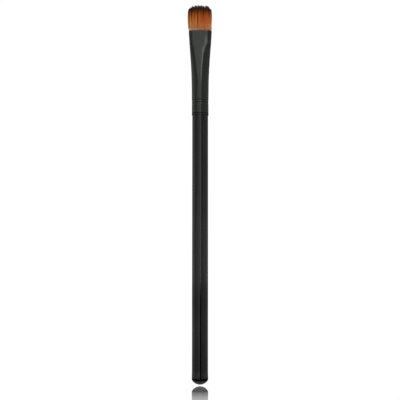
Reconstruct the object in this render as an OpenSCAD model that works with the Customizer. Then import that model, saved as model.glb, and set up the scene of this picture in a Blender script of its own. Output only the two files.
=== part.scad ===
// Flat eyeshadow brush: a turned and lacquered wooden handle, a thin metal ferrule that is
// pressed from round to flat, and a tuft of hair that is tied, set in resin and trimmed to a
// low dome. The brush stands on its butt. Z runs up the handle to the hair, X is the width of
// the flat ferrule, Y is its thickness, and the origin is the lowest point of the butt.

/* [Handle] */
// Diameter of the straight barrel
handle_d = 7; // [5.5:0.25:9]
// Length from the lowest point of the butt to the ferrule
handle_len = 117.6; // [80:0.2:150]
// How far the edge of the butt stands out past the barrel
butt_swell = 0.08; // [0.02:0.01:0.3]
// Length over which the barrel swells to the edge of the butt
butt_flare_len = 4; // [2:0.5:12]
// Height of the rounded end
dome_rise = 2.2; // [1:0.1:2.6]
// Chamfer at the top of the barrel, where the ferrule seats
shoulder_chamfer = 0.12; // [0.04:0.02:0.2]
// How far the tenon runs on past the round part of the ferrule
tenon_past = 3.6; // [1:0.2:5]
// Length of the tapered lead at the end of the tenon
tenon_lead_len = 2; // [0.5:0.1:2.5]
// How much the lead takes off the tenon's radius
tenon_lead = 0.4; // [0.2:0.05:1]

/* [Ferrule] */
// Length of the metal tube
ferrule_len = 37.6; // [30:0.2:50]
// How far the tube stands out past the barrel
ferrule_proud = 0.175; // [0.05:0.025:0.3]
// Thickness of the metal
ferrule_wall = 0.3; // [0.2:0.02:0.4]
// How far the rolled rim stands out past the tube
rim_proud = 0.07; // [0.02:0.01:0.15]
// Height of the rolled rim
rim_h = 0.55; // [0.3:0.05:1.2]
// Width of the fine groove above the rim
neck_w = 0.3; // [0.1:0.05:0.6]
// Depth of that groove
neck_depth = 0.06; // [0.02:0.01:0.1]
// Length of tube that stays round past the last crimp
round_past = 1.9; // [1:0.1:4]
// Outside width of the flat mouth
mouth_w = 10.28; // [8:0.1:15]
// Outside thickness of the flat mouth
mouth_t = 3.3; // [3:0.1:4.6]
// Length of the pressed pad behind the mouth
pad_len = 5.3; // [2:0.1:9]
// Length over which the pad blends into the tapering tube
pad_blend_len = 3.2; // [1:0.1:6]
// How deep the jaws press the pad into each face
pad_press = 0.07; // [0:0.01:0.15]
// Width of the pressed face at the mouth
pad_w = 6.2; // [3:0.1:9]
// Width of the pressed face at the foot of the pad's blend
pad_foot_w = 3.5; // [2:0.1:6]
// Width of the rounded edge of the pressed face
pad_edge = 0.4; // [0.1:0.05:1]
// Bevel on both edges of the mouth
lip_bevel = 0.08; // [0.02:0.01:0.1]

/* [Crimps] */
// Number of crimp rings
crimp_count = 2; // [1:1:3]
// Distance from the end of the tube to the first crimp
crimp_start = 5.35; // [2:0.05:7]
// Distance from one crimp to the next
crimp_pitch = 1.35; // [0.8:0.05:2.5]
// Width of one crimp
crimp_w = 0.7; // [0.3:0.05:0.8]
// Depth of one crimp
crimp_depth = 0.06; // [0.04:0.01:0.15]
// How much the crimping draws in the skirt below
crimp_draw = 0.04; // [0:0.01:0.1]

/* [Hair] */
// Length of the hair past the mouth, at the middle of the dome
hair_len = 11.8; // [9:0.2:20]
// How far the hair spreads on each side by its widest stretch
spread_w = 0.4; // [0:0.02:0.8]
// How much further it spreads on each side by the tips
flare_w = 0.13; // [0:0.01:0.5]
// How far the hair spreads at each face by its thickest stretch
spread_t = 0.28; // [0:0.02:0.6]
// Thickness of the tuft at the level of the highest tip
tip_t = 1.6; // [1:0.1:3]
// How far the dome falls from the middle to the sides
crown_drop = 1.05; // [0:0.05:2.2]
// How much further it falls at the rounded corners
corner_drop = 1.35; // [0:0.05:1.8]
// How far the dome falls from the middle to the faces
face_drop = 1.2; // [0:0.1:1.6]
// Length over which a strand narrows to its point
point_len = 2; // [1:0.1:2.4]
// How unevenly the tips are cut
tip_scatter = 0.2; // [0:0.05:0.5]
// Strands across the width
strands_wide = 44; // [36:1:48]
// Strands through the thickness
strands_deep = 9; // [8:1:10]

/* [Glue and thread] */
// Thickness of the glue film round the tenon
glue_film = 0.1; // [0.06:0.02:0.2]
// Length of the tenon below the glue film that stays dry
glue_start = 0.8; // [0.4:0.1:2]
// Least thickness of resin round the tied root of the hair
resin_wall = 0.45; // [0.35:0.05:0.6]
// Thickness of the thread
thread_d = 0.22; // [0.12:0.02:0.26]
// Turns of thread round the root
thread_turns = 5; // [3:1:8]

/* [Fits] */
// Clearance between pieces that seat inside one another
fit_gap = 0.03; // [0.02:0.01:0.05]

/* [Hidden] */

// Whole numbers of what repeats
crimps = round(crimp_count);
turns = round(thread_turns);
wide = round(strands_wide);
deep = round(strands_deep);

// Round sizes that the tube, its bore and the tenon share
barrel_r = handle_d / 2;
butt_r = barrel_r + butt_swell;
skirt_r = barrel_r + ferrule_proud;
tube_r = skirt_r + crimp_draw;
tenon_r = skirt_r - ferrule_wall - glue_film;

// Levels along the brush
ferrule_z = handle_len + fit_gap;
last_crimp = crimp_start + (crimps - 1) * crimp_pitch;
round_len = last_crimp + round_past;
press_z = ferrule_z + round_len;
mouth_z = ferrule_z + ferrule_len;
press_len = mouth_z - press_z;
pad_z = mouth_z - pad_len;
pad_foot_z = pad_z - pad_blend_len;
rim_top = rim_h + neck_w;

// The pressed tube runs from a circle to its flat mouth. Each row holds the four
// control values of a cubic, as shares of the way from the one to the other.
rise_shares = [0, 0.5, 0.62, 1];
width_shares = [0, 0.05, 0.6, 1];
thickness_shares = [0, 0.05, 1, 1];
// How square the faces are: 2 is an ellipse, and a higher power is flatter
round_power = 2;
taper_power = 0.8;
pad_power = 1.7;
root_power = 3;
// Rings and points of the pressed tube
press_steps = 20;
tube_points = 64;
// Facets round what is turned, and steps along its curves
turned_facets = 96;
crimp_steps = 8;
dome_steps = 14;
flare_steps = 6;
// Points along the rolled rim: heights as shares of the rim's, and how far each stands out as
// a share of the bead
rim_height_shares = [0.05, 0.14, 0.86, 0.95];
rim_bulge_shares = [0.7, 1, 1, 0.7];
// Points of the groove above it: heights as shares of its width, and dips as shares of its depth
neck_height_shares = [0, 0.25, 0.5, 0.75];
neck_dip_shares = [0, 0.5, 1, 0.5];
// The press starts this share of the pad's blend below the blend's foot
press_lead_share = 0.6;
// How deep the pressed length starts inside the wall of the round length, how much thinner it
// is there on each side, and over which share of its rings that step fades
seam_len = 0.8;
seam_step = 0.02;
seam_fade_share = 0.5;

// The resin runs from one share of the pressed tube's rings to another, and the root of the
// hair starts between them
resin_shares = [0.4, 0.75];
root_share = 0.55;
resin_steps = [for (share = resin_shares) round(share * press_steps)];
root_step = round(root_share * press_steps);
// Where the thread starts on the root, as a share of the root's height in the resin
thread_share = 0.35;
// One turn of thread: the heights of its rings and how far each stands out, as shares of its
// thickness
turn_height_shares = [1 / 6, 1 / 2, 5 / 6];
turn_bulge_shares = [0.75, 1, 0.75];
thread_points = 40;

// The tuft is at its fullest at this share of the hair's length
spread_level_share = 0.36;
// How much of its place a strand fills at its body and at its neck, and how far its neck and
// its tip lean, all as shares of the place
body_share = 0.82;
neck_share = 0.62;
neck_shift_share = 0.12;
tip_shift_share = 0.3;
// The outermost rows stop at this share of the tuft's thickness
row_share = 0.97;
// The higher this power, the tighter the rounded corners of the dome
corner_power = 8;
strand_sides = 4;
strand_count = wide * deep;
hair_seed = 11;
// Three chances for each strand: the cut of its tip, and its lean along X and along Y
chance = rands(-1, 1, 3 * strand_count, hair_seed);

// One value of a cubic from its four control values
function cubic(c, s) =
    c[0] * pow(1 - s, 3) + 3 * c[1] * s * pow(1 - s, 2) + 3 * c[2] * pow(s, 2) * (1 - s) + c[3] * pow(s, 3);

// A smooth step from 0 to 1
function ease(t) = let (u = min(max(t, 0), 1)) u * u * (3 - 2 * u);

function between(a, b, t) = a + (b - a) * t;

function sum(v, i = 0) = i < len(v) ? v[i] + sum(v, i + 1) : 0;
function joined(lists) = [for (l = lists) for (p = l) p];
function centre(points) = [for (axis = [0:2]) sum([for (p = points) p[axis]]) / len(points)];

// Each crimp dips by a raised cosine
function dip(x) = abs(x) < crimp_w / 2 ? crimp_depth * (1 + cos(360 * x / crimp_w)) / 2 : 0;
function dips(h) = sum([for (k = [0:crimps - 1]) dip(h - crimp_start - k * crimp_pitch)]);

// Outer radius of the round tube at a height above its end
function round_tube_r(h) =
    let (draw_len = last_crimp + crimp_w - crimp_start)
    between(skirt_r, tube_r, ease((h - crimp_start) / draw_len)) - dips(h);

// Heights that follow every crimp closely
crimp_heights = [
    for (k = [0:crimps - 1], i = [0:crimp_steps])
        crimp_start + k * crimp_pitch + crimp_w * (i / crimp_steps - 1 / 2)
];

// A point of the pressed tube's section, moved inwards by a depth along the section's normal
function section_point(a, b, power, depth, angle) =
    let (
        c = abs(cos(angle)),
        side = cos(angle) < 0 ? -1 : 1,
        x = side * a * pow(c, 2 / power),
        y = b * sin(angle),
        nx = side * power * pow(c, 2 * (power - 1) / power) / a,
        ny = 2 * sin(angle) / b,
        n = norm([nx, ny])
    )
    [x - depth * nx / n, y - depth * ny / n];

// Height, half width, half thickness and power of the pressed tube at one step
function press_z_at(k) = press_z + press_len * cubic(rise_shares, k / press_steps);
function press_section(k) = [
    between(tube_r, mouth_w / 2, cubic(width_shares, k / press_steps)),
    between(tube_r, mouth_t / 2, cubic(thickness_shares, k / press_steps)),
    round_power + taper_power * cubic(width_shares, k / press_steps)
        + pad_power * ease((press_z_at(k) - pad_z) / pad_blend_len + 1)
];

// One ring of points round a section
function ring(section, depth, z, points) = [
    for (i = [0:points - 1])
        let (p = section_point(section[0], section[1], section[2], depth, 360 * i / points))
        [p[0], p[1], z]
];

// How deep the press goes into a face, at a place across the width and a height. The pressed
// face narrows through the pad's blend, and the press fades out below it.
function pad_dent(x, z) =
    let (
        up = (z - pad_foot_z) / pad_blend_len,
        half_w = between(pad_foot_w, pad_w, min(max(up, 0), 1)) / 2
    )
    pad_press * ease((half_w - abs(x)) / pad_edge + 1 / 2) * ease(up + press_lead_share);
function press_ring(k, depth, z) = [
    for (p = ring(press_section(k), depth, z, tube_points))
        [p[0], p[1] - sign(p[1]) * pad_dent(p[0], z), z]
];

// The pressed length is a little thinner at its seam, so that it ends inside the round wall
function seam(k) = seam_step * (1 - ease(k / press_steps / seam_fade_share));

// Two triangles for each side of a ring, up to the next ring
function wall_faces(low, high, n) = [
    for (i = [0:n - 1], half = [0, 1])
        half == 0 ? [low + i, high + i, high + (i + 1) % n] : [low + i, high + (i + 1) % n, low + (i + 1) % n]
];

// A closed solid through rings of points: a tube's rings run up the outside and down the
// inside and meet again, and any other solid's first and last rings are capped
module ring_solid(rings, tube = false) {
    n = len(rings[0]);
    m = len(rings);
    walls = joined([for (k = [0:m - (tube ? 1 : 2)]) wall_faces(k * n, ((k + 1) % m) * n, n)]);
    caps = tube ? [] : [
        for (i = [0:n - 1], end = [0, 1])
            end == 0
                ? [m * n, i, (i + 1) % n]
                : [m * n + 1, (m - 1) * n + (i + 1) % n, (m - 1) * n + i]
    ];
    centres = tube ? [] : [centre(rings[0]), centre(rings[m - 1])];
    polyhedron(concat(joined(rings), centres), concat(walls, caps));
}

module handle() {
    dome_r = (butt_r * butt_r + dome_rise * dome_rise) / (2 * dome_rise);
    dome_angle = asin(butt_r / dome_r);
    shoulder_z = handle_len;
    tenon_z = shoulder_z + round_len + tenon_past;
    dome = [
        for (i = [0:dome_steps])
            let (a = dome_angle * i / dome_steps)
            [dome_r * sin(a), dome_r * (1 - cos(a))]
    ];
    flare = [
        for (i = [1:flare_steps])
            let (t = i / flare_steps)
            [barrel_r + butt_swell * (1 - ease(t)), dome_rise + butt_flare_len * t]
    ];
    shoulder = [
        [barrel_r, shoulder_z - shoulder_chamfer],
        [barrel_r - shoulder_chamfer, shoulder_z],
        [tenon_r, shoulder_z]
    ];
    tenon = concat(
        [for (h = crimp_heights) [tenon_r - dips(h), ferrule_z + h]],
        [[tenon_r, tenon_z - tenon_lead_len], [tenon_r - tenon_lead, tenon_z], [0, tenon_z]]
    );
    color("#1b1b1d") rotate_extrude($fn = turned_facets)
        polygon(concat(dome, flare, shoulder, tenon));
}

// The round length of the ferrule: a rolled rim with a fine groove above it, a skirt and the crimps
module round_tube() {
    heights = concat([rim_top], crimp_heights, [round_len]);
    outside = concat(
        [[skirt_r, 0]],
        [for (i = [0:len(rim_height_shares) - 1])
            [skirt_r + rim_proud * rim_bulge_shares[i], rim_h * rim_height_shares[i]]],
        [for (i = [0:len(neck_height_shares) - 1])
            [skirt_r - neck_depth * neck_dip_shares[i], rim_h + neck_w * neck_height_shares[i]]],
        [for (h = heights) [round_tube_r(h), h]]
    );
    inside = concat([[skirt_r - ferrule_wall, 0]], [for (h = heights) [round_tube_r(h) - ferrule_wall, h]]);
    translate([0, 0, ferrule_z]) rotate_extrude($fn = turned_facets)
        polygon(concat(outside, [for (i = [len(inside) - 1:-1:0]) inside[i]]));
}

// The pressed length: it swells in width, thins, and ends in a flat pad with a bevelled mouth
module pressed_tube() {
    outside = concat(
        [press_ring(0, seam(0), press_z - seam_len)],
        [for (k = [0:press_steps - 1]) press_ring(k, seam(k), press_z_at(k))],
        [press_ring(press_steps, 0, mouth_z - lip_bevel), press_ring(press_steps, lip_bevel, mouth_z)]
    );
    inside = concat(
        [press_ring(press_steps, ferrule_wall - lip_bevel, mouth_z),
            press_ring(press_steps, ferrule_wall, mouth_z - lip_bevel)],
        [for (k = [press_steps - 1:-1:0]) press_ring(k, ferrule_wall - seam(k), press_z_at(k))],
        [press_ring(0, ferrule_wall - seam(0), press_z - seam_len)]
    );
    ring_solid(concat(outside, inside), tube = true);
}

module ferrule() {
    color("#3b3d38") union() {
        round_tube();
        pressed_tube();
    }
}

// A film of glue fills the round bore between the ferrule and the tenon
module tenon_glue() {
    heights = concat([glue_start], crimp_heights, [round_len - fit_gap]);
    outside = [for (h = heights) [round_tube_r(h) - ferrule_wall - fit_gap, h]];
    inside = [for (i = [len(heights) - 1:-1:0]) [tenon_r + fit_gap - dips(heights[i]), heights[i]]];
    color("#d9c58c") translate([0, 0, ferrule_z]) rotate_extrude($fn = turned_facets)
        polygon(concat(outside, inside));
}

// The tied root is straight, and clears the resin's least wall at both its ends
root_z = press_z_at(root_step);
resin_z = press_z_at(resin_steps[0]);
resin_top = press_z_at(resin_steps[1]);
root_section = [
    press_section(root_step)[0] - ferrule_wall - resin_wall,
    press_section(resin_steps[1])[1] - pad_press - ferrule_wall - resin_wall,
    root_power
];
thread_z = between(root_z, resin_top, thread_share);
thread_top = thread_z + turns * thread_d;

// Resin holds the root of the hair in the ferrule: a plug with a pocket for the root and a
// groove in the pocket for the thread
module resin_plug() {
    side = ferrule_wall + fit_gap;
    groove = thread_d + 2 * fit_gap;
    color("#e3d6ae") ring_solid(concat(
        [for (k = [resin_steps[0]:resin_steps[1]]) press_ring(k, side, press_z_at(k))],
        [ring(root_section, -fit_gap, resin_top, tube_points),
            ring(root_section, -fit_gap, thread_top + fit_gap, tube_points),
            ring(root_section, -groove, thread_top + fit_gap, tube_points),
            ring(root_section, -groove, thread_z - fit_gap, tube_points),
            ring(root_section, -fit_gap, thread_z - fit_gap, tube_points),
            ring(root_section, -fit_gap, root_z - fit_gap, tube_points)]
    ));
}

// The thread lies round the root turn beside turn
module root_thread() {
    end_h = thread_d * turn_height_shares[0];
    color("#efe6d2") ring_solid(concat(
        [for (k = [0:turns - 1], i = [0:len(turn_height_shares) - 1])
            ring(root_section, -thread_d * turn_bulge_shares[i],
                thread_z + thread_d * (k + turn_height_shares[i]), thread_points)],
        [ring(root_section, -fit_gap / 2, thread_top - end_h, thread_points),
            ring(root_section, -fit_gap / 2, thread_z + end_h, thread_points)]
    ), tube = true);
}

// Half width, half thickness and power of the tuft where it leaves the mouth, at its fullest
// and at the highest tip, each with its height
mouth_hair = [
    press_section(press_steps)[0],
    press_section(press_steps)[1] - pad_press,
    press_section(press_steps)[2]
];
hair_side = ferrule_wall + fit_gap;
spread_z = mouth_z + hair_len * spread_level_share;
hair_top = mouth_z + hair_len;
spread_hair = [mouth_hair[0] + spread_w, mouth_hair[1] + spread_t, mouth_hair[2]];
tip_hair = [mouth_hair[0] + spread_w + flare_w, hair_side + tip_t / 2, mouth_hair[2]];

// A corner of the strands' places: column i and row j of a level of the tuft
function place(section, depth, z, i, j) =
    let (p = section_point(section[0], section[1], section[2], depth, asin(row_share * (2 * j / deep - 1))))
    [p[0] * (2 * i / wide - 1), p[1], z];

// Columns and rows of the corners round the edge of the tuft
edge_places = concat(
    [for (i = [0:wide - 1]) [i, 0]],
    [for (j = [0:deep - 1]) [wide, j]],
    [for (i = [wide:-1:1]) [i, deep]],
    [for (j = [deep:-1:1]) [0, j]]
);
edge_count = len(edge_places);

// Height of the tip of the strand in column i and row j
function tip_z(i, j) =
    let (
        u = (2 * i + 1) / wide - 1,
        v = (2 * j + 1) / deep - 1,
        scatter = (1 + chance[i + j * wide]) / 2
    )
    hair_top - crown_drop * u * u - corner_drop * pow(abs(u), corner_power) - face_drop * v * v
        - tip_scatter * scatter;

// The four corners of one strand's place, at a height above the level of its widest stretch
function strand_place(i, j, z) =
    let (t = (z - spread_z) / (hair_top - spread_z))
    [for (c = [[i, j], [i + 1, j], [i + 1, j + 1], [i, j + 1]])
        between(place(spread_hair, hair_side, z, c[0], c[1]), place(tip_hair, hair_side, z, c[0], c[1]), t)];

// The points of one strand: its body, its neck and its tip, each inside its own place
function strand_points(i, j) =
    let (
        tip = tip_z(i, j),
        body = strand_place(i, j, spread_z),
        neck = strand_place(i, j, tip - point_len),
        end = strand_place(i, j, tip),
        lean_x = chance[strand_count + i + j * wide],
        lean_y = chance[2 * strand_count + i + j * wide],
        neck_lean = lean_x * (neck[1] - neck[0]) + lean_y * (neck[3] - neck[0]),
        tip_lean = lean_x * (end[1] - end[0]) + lean_y * (end[3] - end[0]),
        neck_c = centre(neck) + neck_shift_share * neck_lean,
        end_c = centre(end) + tip_shift_share * tip_lean
    )
    concat(
        [for (p = body) between(centre(body), p, body_share)],
        [for (p = neck) neck_c + neck_share * (p - centre(neck))],
        [end_c]
    );

// The tuft: strands that rise side by side from a block of packed hair, which narrows to the
// tied root
module hair_tuft() {
    columns = wide + 1;
    grid_start = 2 * edge_count;
    strand_start = grid_start + columns * (deep + 1);
    strand_size = 2 * strand_sides + 1;
    points = concat(
        [for (z = [root_z, resin_top], e = edge_places) place(root_section, 0, z, e[0], e[1])],
        [for (j = [0:deep], i = [0:wide]) place(mouth_hair, hair_side, mouth_z, i, j)],
        [for (j = [0:deep - 1], i = [0:wide - 1]) for (p = strand_points(i, j)) p],
        [[0, 0, root_z]]
    );
    edge_grid = [for (e = edge_places) grid_start + e[1] * columns + e[0]];
    block = concat(
        wall_faces(0, edge_count, edge_count),
        [for (m = [0:edge_count - 1], half = [0, 1])
            let (next = (m + 1) % edge_count)
            half == 0
                ? [edge_count + m, edge_grid[m], edge_grid[next]]
                : [edge_count + m, edge_grid[next], edge_count + next]],
        [for (m = [0:edge_count - 1]) [len(points) - 1, m, (m + 1) % edge_count]]
    );
    strands = [
        for (j = [0:deep - 1], i = [0:wide - 1])
            let (
                body = strand_start + strand_size * (i + j * wide),
                neck = body + strand_sides,
                tip = neck + strand_sides,
                g = grid_start + i + j * columns,
                corners = [g, g + 1, g + 1 + columns, g + columns]
            )
            for (c = [0:strand_sides - 1])
                let (d = (c + 1) % strand_sides)
                for (f = [
                    [corners[c], body + c, body + d],
                    [corners[c], body + d, corners[d]],
                    [body + c, neck + c, neck + d],
                    [body + c, neck + d, body + d],
                    [neck + c, tip, neck + d]
                ]) f
    ];
    color("#9a5229") polyhedron(points, concat(block, strands));
}

handle();
ferrule();
tenon_glue();
hair_tuft();
root_thread();
resin_plug();
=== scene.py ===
"""Visual model of a flat eyeshadow brush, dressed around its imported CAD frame.

The brush stands on its butt, with +Z towards the hair, X across the width of the flat
ferrule and Y through its thickness. Sizes are in metres. The handle, the ferrule and the
tuft are shown as finer meshes on the CAD's own sizes, but for the edge of the butt, the
shoulder's chamfer, the rim, its groove and the crimps, which follow the photograph more
closely. The glue, the thread and the resin inside keep their CAD meshes and get materials.
"""
import logging
import math
from dataclasses import dataclass
from enum import Enum

import bpy
import numpy as np
from mathutils import Matrix, Vector


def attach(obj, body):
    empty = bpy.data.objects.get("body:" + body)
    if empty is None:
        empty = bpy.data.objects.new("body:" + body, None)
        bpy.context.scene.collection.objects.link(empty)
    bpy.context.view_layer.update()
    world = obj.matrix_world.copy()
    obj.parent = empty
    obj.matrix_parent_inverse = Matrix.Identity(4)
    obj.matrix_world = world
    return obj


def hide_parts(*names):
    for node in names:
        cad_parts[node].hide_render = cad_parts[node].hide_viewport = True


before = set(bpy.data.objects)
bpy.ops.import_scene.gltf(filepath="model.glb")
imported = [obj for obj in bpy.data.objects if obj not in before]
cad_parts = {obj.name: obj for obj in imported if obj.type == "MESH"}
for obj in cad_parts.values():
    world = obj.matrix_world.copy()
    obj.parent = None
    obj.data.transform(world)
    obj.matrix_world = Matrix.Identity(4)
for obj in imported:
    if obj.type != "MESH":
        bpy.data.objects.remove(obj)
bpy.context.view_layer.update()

LOG = logging.getLogger("brush")
MM = 0.001
FULL_TURN = 2.0 * math.pi
PLAIN_WHITE = (1.0, 1.0, 1.0, 1.0)
# How strongly the floor and the tent glow to look just white to the camera
WHITE_GLOW = 1.02
Colour = tuple[float, float, float]
Span = tuple[float, float]
Curve = tuple[float, float, float, float]
Socket = bpy.types.NodeSocket
Node = bpy.types.Node


# Shapes


def ease(t: np.ndarray | float) -> np.ndarray:
    """A smooth step from 0 to 1.

    Args:
        t: Where to read the step; it stays at 0 below 0 and at 1 above 1.

    Returns:
        The step's value at each place.
    """
    u = np.clip(t, 0.0, 1.0)
    return u * u * (3.0 - 2.0 * u)


def rise(value: np.ndarray | float, low: float, high: float) -> np.ndarray:
    """A smooth step that goes from 0 at the low value to 1 at the high one."""
    return ease((value - low) / (high - low))


def bell(away: np.ndarray) -> np.ndarray:
    """A smooth hump, 1 high in the middle and gone at about 2 to either side."""
    return np.exp(-(away**2))


def cubic(controls: Curve, s: float) -> float:
    """A cubic curve through its four control values.

    Args:
        controls: The control values.
        s: A place along the curve, from 0 to 1.

    Returns:
        The curve's value there.
    """
    a, b, c, d = controls
    r = 1.0 - s
    return a * r**3 + 3.0 * b * s * r**2 + 3.0 * c * s**2 * r + d * s**3


def lathe_rings(profile: np.ndarray, count: int) -> np.ndarray:
    """Circles of points for a turned surface.

    Args:
        profile: The radius and the height of each ring.
        count: Points in a ring.

    Returns:
        An array of rings, points and coordinates.
    """
    turn = np.linspace(0.0, FULL_TURN, count, endpoint=False)
    x = np.outer(profile[:, 0], np.cos(turn))
    y = np.outer(profile[:, 0], np.sin(turn))
    z = np.repeat(profile[:, 1:], count, axis=1)
    return np.stack([x, y, z], axis=2)


def wall_faces(rings: int, count: int, loops: bool) -> list[tuple[int, ...]]:
    """Quads between each ring of points and the next.

    Args:
        rings: How many rings there are.
        count: Points in a ring.
        loops: Whether the last ring joins the first again, as a tube's walls do.

    Returns:
        The faces, facing outwards where the rings rise anticlockwise.
    """
    faces = []
    for k in range(rings if loops else rings - 1):
        low, high = k * count, (k + 1) % rings * count
        for i in range(count):
            j = (i + 1) % count
            faces.append((low + i, low + j, high + j, high + i))
    return faces


def arc(centre: Span, radius: float, start: float, end: float, steps: int) -> np.ndarray:
    """Points of a profile's rounding, as radius and height.

    Args:
        centre: The rounding's centre, as radius and height.
        radius: The rounding's radius.
        start: Angle of the first point in degrees, from the outward direction.
        end: Angle of the last point in degrees.
        steps: Steps from the first point to the last.

    Returns:
        An array of points.
    """
    angle = np.radians(np.linspace(start, end, steps + 1))
    return np.stack([centre[0] + radius * np.cos(angle), centre[1] + radius * np.sin(angle)], axis=1)


def make_piece(name: str, points: np.ndarray, faces: list[tuple[int, ...]], sharp: float = 40.0
               ) -> bpy.types.Object:
    """A smooth-shaded mesh object with its steep edges kept sharp.

    Args:
        name: The object's name.
        points: Its vertices in metres.
        faces: Its faces, as vertex numbers.
        sharp: Edges that turn by more than these degrees stay sharp.

    Returns:
        The new object, linked to the scene.
    """
    mesh = bpy.data.meshes.new(name)
    mesh.from_pydata(np.asarray(points).reshape(-1, 3).tolist(), [], faces)
    mesh.validate()
    mesh.shade_smooth()
    mesh.set_sharp_from_angle(angle=math.radians(sharp))
    mesh.update()
    piece = bpy.data.objects.new(name, mesh)
    bpy.context.scene.collection.objects.link(piece)
    return piece


@dataclass(frozen=True)
class FlatSection:
    """One section of the pressed tube: an ellipse whose long faces are flattened."""

    half_width: float
    half_thickness: float
    power: float

    def outline(self, depth: float, count: int) -> np.ndarray:
        """Evenly spaced points round the section.

        Args:
            depth: How far the points lie inside the section, along its normal.
            count: Points round the section, a multiple of four.

        Returns:
            An array of points in the section's plane.
        """
        # Samples of a quarter, crowded at both of its ends, where it bends most
        samples, crowding = 600, 1.5
        t = np.linspace(0.0, 1.0, samples) ** crowding
        angle = np.concatenate([t * 0.25, 0.5 - t[-2::-1] * 0.25]) * math.pi
        c, s = np.cos(angle), np.sin(angle)
        x = self.half_width * np.abs(c) ** (2.0 / self.power)
        y = self.half_thickness * s
        nx = self.power * np.abs(c) ** (2.0 * (self.power - 1.0) / self.power) / self.half_width
        ny = 2.0 * s / self.half_thickness
        n = np.hypot(nx, ny)
        run = np.concatenate([[0.0], np.cumsum(np.hypot(np.diff(x), np.diff(y)))])
        places = np.linspace(0.0, run[-1], count // 4 + 1)
        px = np.interp(places, run, x - depth * nx / n)
        py = np.interp(places, run, y - depth * ny / n)
        px[-1] = 0.0
        quarter = np.stack([px, py], axis=1)[:-1]
        mirrored = np.stack([-px, py], axis=1)[:0:-1]
        half = np.concatenate([quarter, mirrored])
        return np.concatenate([half, -half])


# Node trees


class Graph:
    """Adds nodes to one tree and links them, with the last node's socket handed back."""

    def __init__(self, tree: bpy.types.NodeTree) -> None:
        """Starts from an empty tree.

        Args:
            tree: The node tree, which is cleared.
        """
        self.tree = tree
        tree.nodes.clear()

    def node(self, kind: str, settings: dict | None = None, inputs: dict | None = None) -> Node:
        """Adds one node.

        Args:
            kind: The node's type, without "ShaderNode".
            settings: Values for its own properties.
            inputs: A value or another node's socket for each named or numbered input.

        Returns:
            The new node.
        """
        made = self.tree.nodes.new("ShaderNode" + kind)
        for key, value in (settings or {}).items():
            setattr(made, key, value)
        for key, value in (inputs or {}).items():
            if isinstance(value, Socket):
                self.tree.links.new(value, made.inputs[key])
            else:
                made.inputs[key].default_value = value
        return made

    def feed(self, node: Node, name: str, value: Socket) -> None:
        """Links a value to one of a node's inputs."""
        self.tree.links.new(value, node.inputs[name])

    def place(self) -> Socket:
        """The place of each point in its object's own frame."""
        return self.node("TexCoord").outputs["Object"]

    def held(self, name: str) -> Socket:
        """A value that the mesh holds for each vertex."""
        return self.node("Attribute", {"attribute_name": name}).outputs["Fac"]

    def maths(self, operation: str, *values: float | Socket) -> Socket:
        """A Math node's result, from its operation and its inputs in order."""
        return self.node("Math", {"operation": operation}, dict(enumerate(values))).outputs[0]

    def mix(self, share: float | Socket, low: Colour | Socket, high: Colour | Socket,
            blend: str = "MIX") -> Socket:
        """A mix of two colours.

        Args:
            share: How much of the second colour shows.
            low: The first colour.
            high: The second colour.
            blend: The Mix node's way of blending.

        Returns:
            The mixed colour's socket.
        """
        made = self.node("Mix", {"data_type": "RGBA", "blend_type": blend})
        for number, value in ((0, share), (6, low), (7, high)):
            if isinstance(value, Socket):
                self.tree.links.new(value, made.inputs[number])
            elif number:
                made.inputs[number].default_value = (*value, 1.0)
            else:
                made.inputs[number].default_value = value
        return made.outputs[2]

    def spread(self, value: Socket, low: float, high: float, to_low: float, to_high: float) -> Socket:
        """A value carried from one range to another, and held at its ends.

        Args:
            value: The value's socket.
            low: Lower end of its range.
            high: Upper end of its range.
            to_low: What the lower end becomes.
            to_high: What the upper end becomes.

        Returns:
            The new value's socket.
        """
        return self.node("MapRange", {}, {0: value, 1: low, 2: high, 3: to_low, 4: to_high}).outputs[0]

    def window(self, value: Socket, low: float, high: float, edge: float) -> Socket:
        """A value that is 1 between two limits and 0 outside them, with soft edges.

        Args:
            value: The value's socket.
            low: The lower limit.
            high: The upper limit.
            edge: Width of each soft edge.

        Returns:
            The window's socket.
        """
        smooth = {"interpolation_type": "SMOOTHSTEP"}
        half = edge / 2.0
        up = self.node("MapRange", smooth, {0: value, 1: low - half, 2: low + half, 3: 0.0, 4: 1.0})
        down = self.node("MapRange", smooth, {0: value, 1: high - half, 2: high + half, 3: 1.0, 4: 0.0})
        return self.maths("MULTIPLY", up.outputs[0], down.outputs[0])

    def azimuth(self, place: Socket) -> Socket:
        """The azimuth of a place in degrees, from the camera's side towards +X.

        Args:
            place: The place's socket.

        Returns:
            The azimuth's socket.
        """
        parts = self.node("SeparateXYZ", {}, {0: place})
        front = self.maths("MULTIPLY", parts.outputs[1], -1.0)
        return self.maths("DEGREES", self.maths("ARCTAN2", parts.outputs[0], front))

    def ramp(self, value: Socket, stops: tuple[tuple[float, Colour], ...]) -> Socket:
        """A colour ramp.

        Args:
            value: The socket that runs along the ramp.
            stops: Each place on the ramp with its colour.

        Returns:
            The colour's socket.
        """
        made = self.node("ValToRGB", {}, {0: value})
        elements = made.color_ramp.elements
        while len(elements) < len(stops):
            elements.new(1.0)
        for element, (place, colour) in zip(elements, stops):
            element.position = place
            element.color = (*colour, 1.0)
        return made.outputs[0]


class Effect(Enum):
    """The surface effects that several finishes share, each a shader node group."""

    LENGTH_LINES = "LengthLines"
    FINE_GRAIN = "FineGrain"
    HANDLING = "Handling"


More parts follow.
